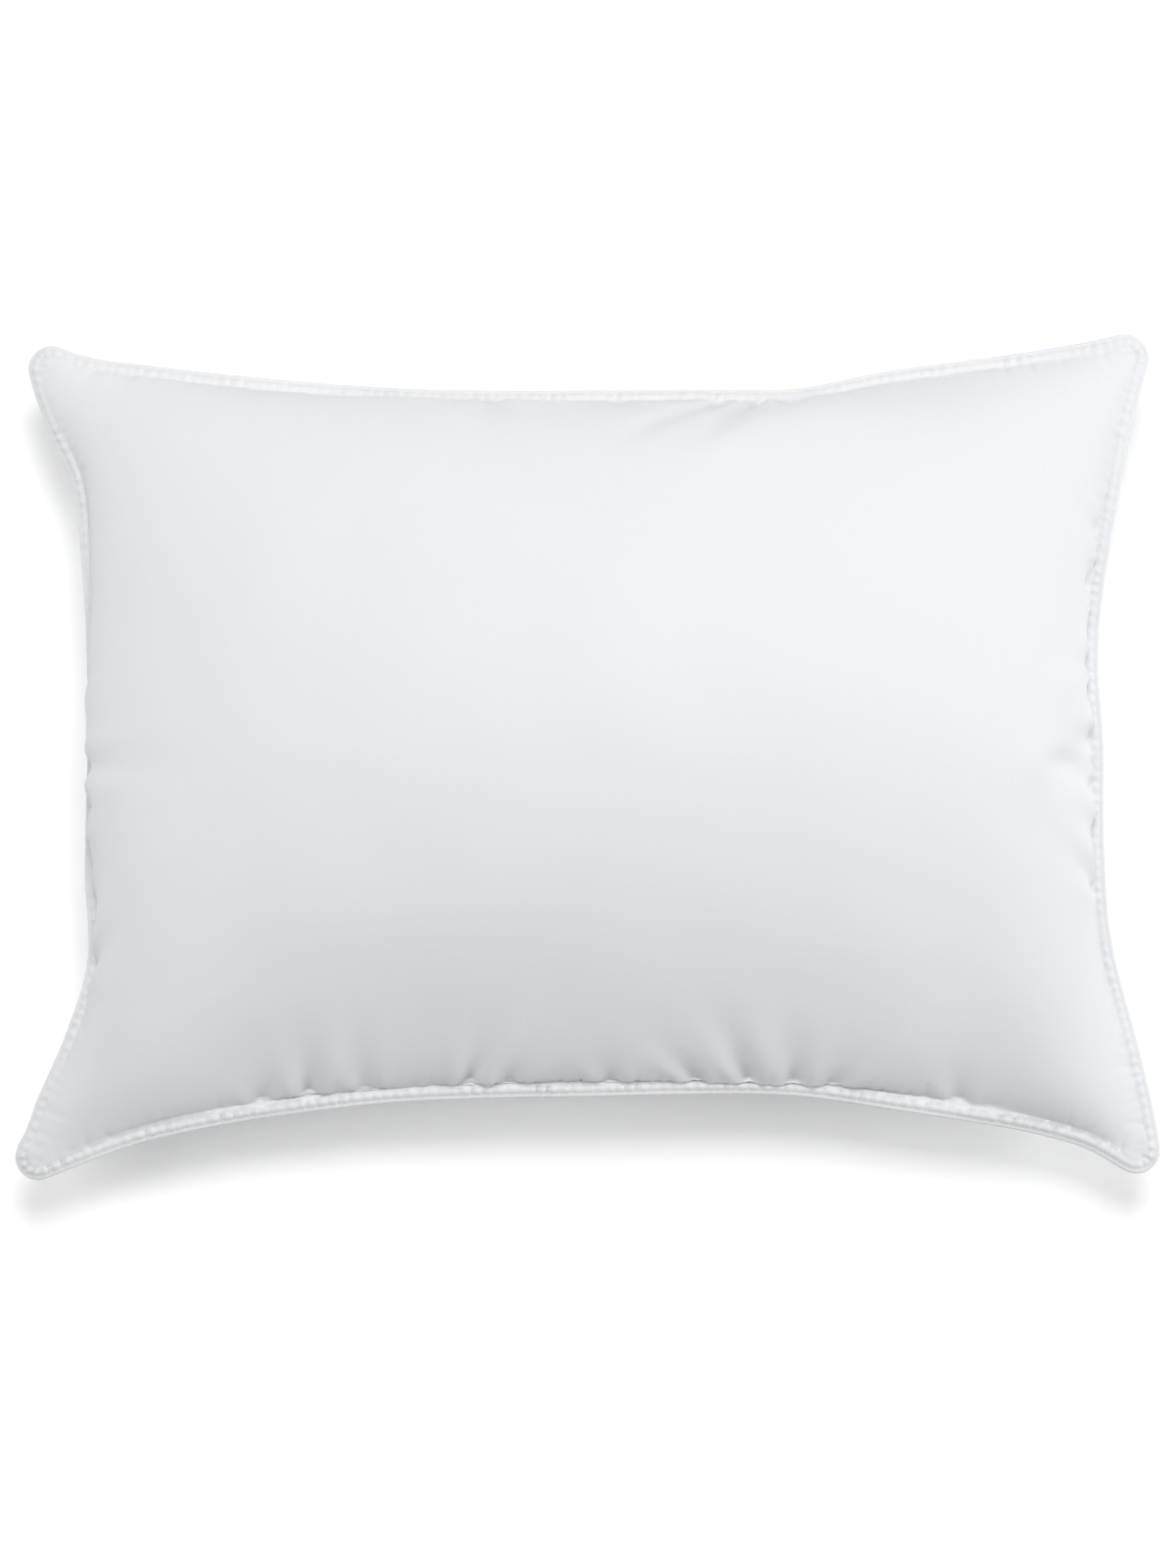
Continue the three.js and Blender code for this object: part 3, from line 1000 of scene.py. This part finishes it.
@dataclass
class Filling:
    """The fibre inside the casing, a little smaller than the two domes."""

    node: str = "fibre_fill"
    air: float = 0.003
    rim_air: float = 0.006
    rim_reach: float = 0.05
    rim_inset: float = 0.012
    ear_air: float = 0.014
    ear_reach: float = 0.07
    # How steeply the filling may rise inside the rim, and where it may begin to; then how steeply
    # beyond a distance from the welt.
    rim_slope: tuple[float, float] = (0.6, 0.006)
    wall_slope: tuple[float, float] = (3, 0.015)
    lump: float = 0.0012
    lumps_per_metre: float = 45
    lowest: float = 0.002

    def build(
        self, domes: list[bpy.types.Object], welt: Welt, material: bpy.types.Material
    ) -> bpy.types.Object:
        """Makes the filling from the two stuffed domes.

        Args:
            domes: Copies of the front and back panels' domes.
            welt: The welt that they are sewn to.
            material: The finish.

        Returns:
            The filling.
        """
        for dome in domes:
            self.draw_in(dome, welt)
        fill = domes[0]
        only(fill)
        domes[1].select_set(True)
        bpy.ops.object.join()
        fill.name = self.node + "_wadding"
        bpy.ops.object.mode_set(mode="EDIT")
        bpy.ops.mesh.select_all(action="SELECT")
        bpy.ops.mesh.remove_doubles(threshold=0.0003)
        bpy.ops.object.mode_set(mode="OBJECT")
        fill.data.attributes.remove(fill.data.attributes["flat"])
        while fill.data.uv_layers:
            fill.data.uv_layers.remove(fill.data.uv_layers[0])
        apply_modifier(fill, "SUBSURF", levels=1, render_levels=1)
        points = read_points(fill.data)
        lumps = [noise.fractal(Vector(p) * self.lumps_per_metre, 1, 2, 3) for p in points]
        points -= read_normals(fill.data) * (self.lump * np.abs(np.array(lumps)))[:, None]
        points[:, 2] = np.maximum(points[:, 2], self.lowest)
        write_points(fill.data, points)
        dress(fill, material, "filling", self.node)
        return fill

    def draw_in(self, dome: bpy.types.Object, welt: Welt) -> None:
        """Draws a dome in from the cloth it was copied from, and most at its rim and ears."""
        points = read_points(dome.data)
        run, distance = welt.nearest(points)
        near = np.clip(1 - distance / self.rim_reach, 0, 1)
        points -= read_normals(dome.data) * (self.air + self.rim_air * near)[:, None]
        rim = rim_of(dome.data)
        points[rim] = welt.place(run[rim], self.rim_inset, 0)
        for ear in welt.sample(welt.foot, np.array(welt.ears))[:, :2]:
            away = np.linalg.norm(points[:, :2] - ear, axis=1)
            pull = self.ear_air * np.clip(1 - away / self.ear_reach, 0, 1)
            points[:, :2] -= ear / np.linalg.norm(ear) * pull[:, None]
        foot = welt.sample(welt.foot, run)
        inward = np.einsum("ij,ij->i", foot - points, welt.sample(welt.level, run))
        slope, start = self.rim_slope
        room = slope * np.maximum(inward - start, 0)
        slope, start = self.wall_slope
        room += slope * np.maximum(distance - start, 0)
        points[:, 2] = foot[:, 2] + np.clip(points[:, 2] - foot[:, 2], -room, room)
        points[:, 2] = np.maximum(points[:, 2], self.lowest)
        write_points(dome.data, points)


# Sewing -----------------------------------------------------------------------------------------


def repeat(
    pattern: bpy.types.Object, name: str, origins: np.ndarray, axes: np.ndarray
) -> bpy.types.Object:
    """Copies a small mesh to many places, as one piece, and removes the pattern.

    Args:
        pattern: The mesh to copy.
        name: The new piece's name.
        origins: Where each copy's origin goes.
        axes: Each copy's X, Y and Z directions, one to a row, times its size along them.

    Returns:
        The new piece.
    """
    points = read_points(pattern.data)
    placed = origins[:, None, :] + np.einsum("vk,nkj->nvj", points, axes)
    faces = [tuple(polygon.vertices) for polygon in pattern.data.polygons]
    count = len(points)
    copied = [tuple(v + k * count for v in face) for k in range(len(origins)) for face in faces]
    mesh = bpy.data.meshes.new(name)
    mesh.from_pydata(placed.reshape(-1, 3).tolist(), [], copied)
    mesh.update()
    piece = bpy.data.objects.new(name, mesh)
    bpy.context.scene.collection.objects.link(piece)
    bpy.data.objects.remove(pattern)
    return piece


@dataclass
class StitchRow:
    """A row of lockstitch along the welt. The thread dips into the cloth between stitches."""

    node: str
    welt: Welt
    inset: float
    height: float
    pitch: float = 0.0031
    stitch: float = 0.0026
    thread: float = 0.00036
    opening: tuple[float, float] | None = None

    def build(self, material: bpy.types.Material) -> bpy.types.Object:
        """Makes the row, except where it has an opening, given by its two runs."""
        count = round(self.welt.length / self.pitch)
        run = (np.arange(count) + 0.5) / count
        if self.opening is not None:
            run = run[(run < self.opening[0]) | (run > self.opening[1])]
        up = self.welt.sample(self.welt.up, run) * (-1 if self.height < 0 else 1)
        along = self.welt.sample(self.welt.along, run)
        across = np.cross(up, along)
        axes = np.stack([along * self.stitch, across * self.thread, up * self.thread], axis=1)
        origins = self.welt.place(run, self.inset, self.height)
        row = repeat(self.one_stitch(), self.node + "_stitches", origins, axes)
        dress(row, material, "thread", self.node)
        return row

    @staticmethod
    def one_stitch() -> bpy.types.Object:
        """Makes one stitch, one unit long and one thick, arched over the cloth."""
        bpy.ops.object.select_all(action="DESELECT")
        bpy.ops.mesh.primitive_uv_sphere_add(segments=6, ring_count=5, radius=0.5)
        stitch = bpy.context.object
        bpy.ops.object.mode_set(mode="EDIT")
        bpy.ops.transform.rotate(value=math.pi / 2, orient_axis="Y", center_override=(0, 0, 0))
        bpy.ops.object.mode_set(mode="OBJECT")
        points = read_points(stitch.data)
        points[:, 2] -= 3 * points[:, 0] ** 2 - 0.2
        write_points(stitch.data, points)
        return stitch


@dataclass
class Overlock:
    """The overlocking that binds the turned-in raw edges of both panels, inside the casing."""

    node: str
    welt: Welt
    inset: float = 0.0096
    pitch: float = 0.003
    half_width: float = 0.0007
    half_height: float = 0.00062
    half_thread: float = 0.0005
    slant: float = 0.8

    def build(self, material: bpy.types.Material) -> bpy.types.Object:
        """Makes the loops, each slanted a little along the edge."""
        count = round(self.welt.length / self.pitch)
        run = np.arange(count) / count
        up = self.welt.sample(self.welt.up, run)
        along = self.welt.sample(self.welt.along, run)
        across = self.welt.sample(self.welt.across, run)
        wide = (across + self.slant * along) * self.half_width
        axes = np.stack([-along * self.half_thread, wide, up * self.half_height], axis=1)
        origins = self.welt.place(run, self.inset, 0)
        loops = repeat(self.one_loop(), self.node + "_loops", origins, axes)
        dress(loops, material, "thread", self.node)
        return loops

    @staticmethod
    def one_loop() -> bpy.types.Object:
        """Makes one loop of thread round the X axis, with an outer radius of one unit."""
        bpy.ops.object.select_all(action="DESELECT")
        bpy.ops.mesh.primitive_torus_add(
            major_segments=8, minor_segments=4, major_radius=0.82, minor_radius=0.18
        )
        loop = bpy.context.object
        bpy.ops.object.mode_set(mode="EDIT")
        bpy.ops.mesh.select_all(action="SELECT")
        bpy.ops.transform.rotate(value=math.pi / 2, orient_axis="Y", center_override=(0, 0, 0))
        bpy.ops.object.mode_set(mode="OBJECT")
        return loop


# The studio -------------------------------------------------------------------------------------


@dataclass(frozen=True)
class Lamp:
    """A square soft lamp. tilt is from overhead and turn from behind, clockwise, in degrees."""

    name: str
    tilt: float
    turn: float
    size: float
    power: float
    distance: float = 3.2

    def hang(self) -> None:
        """Hangs the lamp, facing the pillow."""
        tilt = math.radians(self.tilt)
        turn = math.radians(self.turn)
        level = math.sin(tilt)
        away = Vector((level * math.sin(turn), level * math.cos(turn), math.cos(tilt)))
        light = bpy.data.lights.new(self.name, "AREA")
        light.shape = "SQUARE"
        light.size = self.size
        light.energy = self.power
        holder = bpy.data.objects.new(self.name, light)
        holder.location = away * self.distance
        holder.rotation_euler = away.to_track_quat("Z", "Y").to_euler()
        bpy.context.scene.collection.objects.link(holder)


@dataclass
class Studio:
    """A pale floor, even surroundings, three soft lamps and a camera almost overhead."""

    seam_height: float = 0.074
    camera_distance: float = 2.5
    camera_elevation: float = 86.5
    view_width: float = 0.66
    view_centre: tuple[float, float] = (0.0, -0.0165)
    sensor: float = 24.0
    lamps: tuple[Lamp, ...] = (
        Lamp("key_behind", tilt=24, turn=8, size=1.2, power=57),
        Lamp("fill_right", tilt=65, turn=90, size=1.6, power=46),
        Lamp("fill_left", tilt=40, turn=-90, size=1.6, power=31),
    )
    surroundings: float = 0.25

    def build(self, floor_paint: bpy.types.Material) -> None:
        """Sets up the floor, the light and the camera."""
        self.lay_floor(floor_paint)
        self.light()
        self.point_camera()

    def lay_floor(self, paint: bpy.types.Material) -> None:
        """Lays the floor just under the pillow."""
        bpy.ops.object.select_all(action="DESELECT")
        bpy.ops.mesh.primitive_plane_add(size=12, location=(0, 0, 0))
        floor = bpy.context.object
        floor.name = "studio_floor"
        bpy.ops.object.mode_set(mode="EDIT")
        bpy.ops.mesh.select_all(action="SELECT")
        bpy.ops.transform.translate(value=(0, 0, -0.0002))
        bpy.ops.object.mode_set(mode="OBJECT")
        floor.data.materials.append(paint)

    def light(self) -> None:
        """Lights the pillow evenly from all round, and softly from behind and from both sides."""
        world = bpy.data.worlds.new("surroundings")
        world.use_nodes = True
        background = world.node_tree.nodes["Background"]
        background.inputs["Color"].default_value = (0.99, 0.995, 1, 1)
        background.inputs["Strength"].default_value = self.surroundings
        bpy.context.scene.world = world
        for lamp in self.lamps:
            lamp.hang()

    def point_camera(self) -> None:
        """Points a long lens at the pillow from almost straight above."""
        rise = math.radians(self.camera_elevation)
        away = Vector((0, -math.cos(rise), math.sin(rise)))
        lens = bpy.data.cameras.new("camera")
        lens.sensor_fit = "HORIZONTAL"
        lens.sensor_width = self.sensor
        lens.lens = self.sensor * self.camera_distance / self.view_width
        camera = bpy.data.objects.new("camera", lens)
        aim = Vector((*self.view_centre, self.seam_height))
        camera.location = aim + away * self.camera_distance
        camera.rotation_euler = away.to_track_quat("Z", "Y").to_euler()
        bpy.context.scene.collection.objects.link(camera)
        bpy.context.scene.camera = camera
        bpy.context.scene.view_settings.view_transform = "Standard"


# Assembly ---------------------------------------------------------------------------------------


def main() -> None:
    """Builds the pillow piece by piece, then the studio round it."""
    logging.basicConfig(level=logging.INFO, format="%(name)s: %(message)s")
    welt = Welt()
    log.info("welt: %.3f m round", welt.length)
    percale = Percale().material()
    front = Panel(Face.FRONT, "front_panel", welt, FRONT_GATHERS, settling=0.42)
    back = Panel(Face.BACK, "back_panel", welt, BACK_GATHERS)
    front_cloth, front_dome = front.build(percale)
    back_cloth, back_dome = back.build(percale)
    wadding = Filling().build([front_dome, back_dome], welt, FibreFill().material())

    thread = SewingThread().material()
    for node, inset, height in (
        ("inner_row_needle_thread", welt.inner_row_inset, welt.stitch_height),
        ("inner_row_bobbin_thread", welt.inner_row_inset, -welt.stitch_height),
        ("outer_row_needle_thread", welt.row_inset, welt.stitch_height),
        ("outer_row_bobbin_thread", welt.row_inset, -welt.stitch_height),
    ):
        StitchRow(node, welt, inset, height).build(thread)
    gap = {"thread": 0.0002, "opening": welt.opening_runs()}
    StitchRow("joining_seam_thread", welt, welt.joining_inset, 0.0, **gap).build(thread)
    Overlock("overlock_thread", welt).build(thread)
    for panel, cloth in ((front, front_cloth), (back, back_cloth)):
        panel.flat_size()

    Studio().build(StudioFloor().material())


if __name__ == "__main__":
    main()
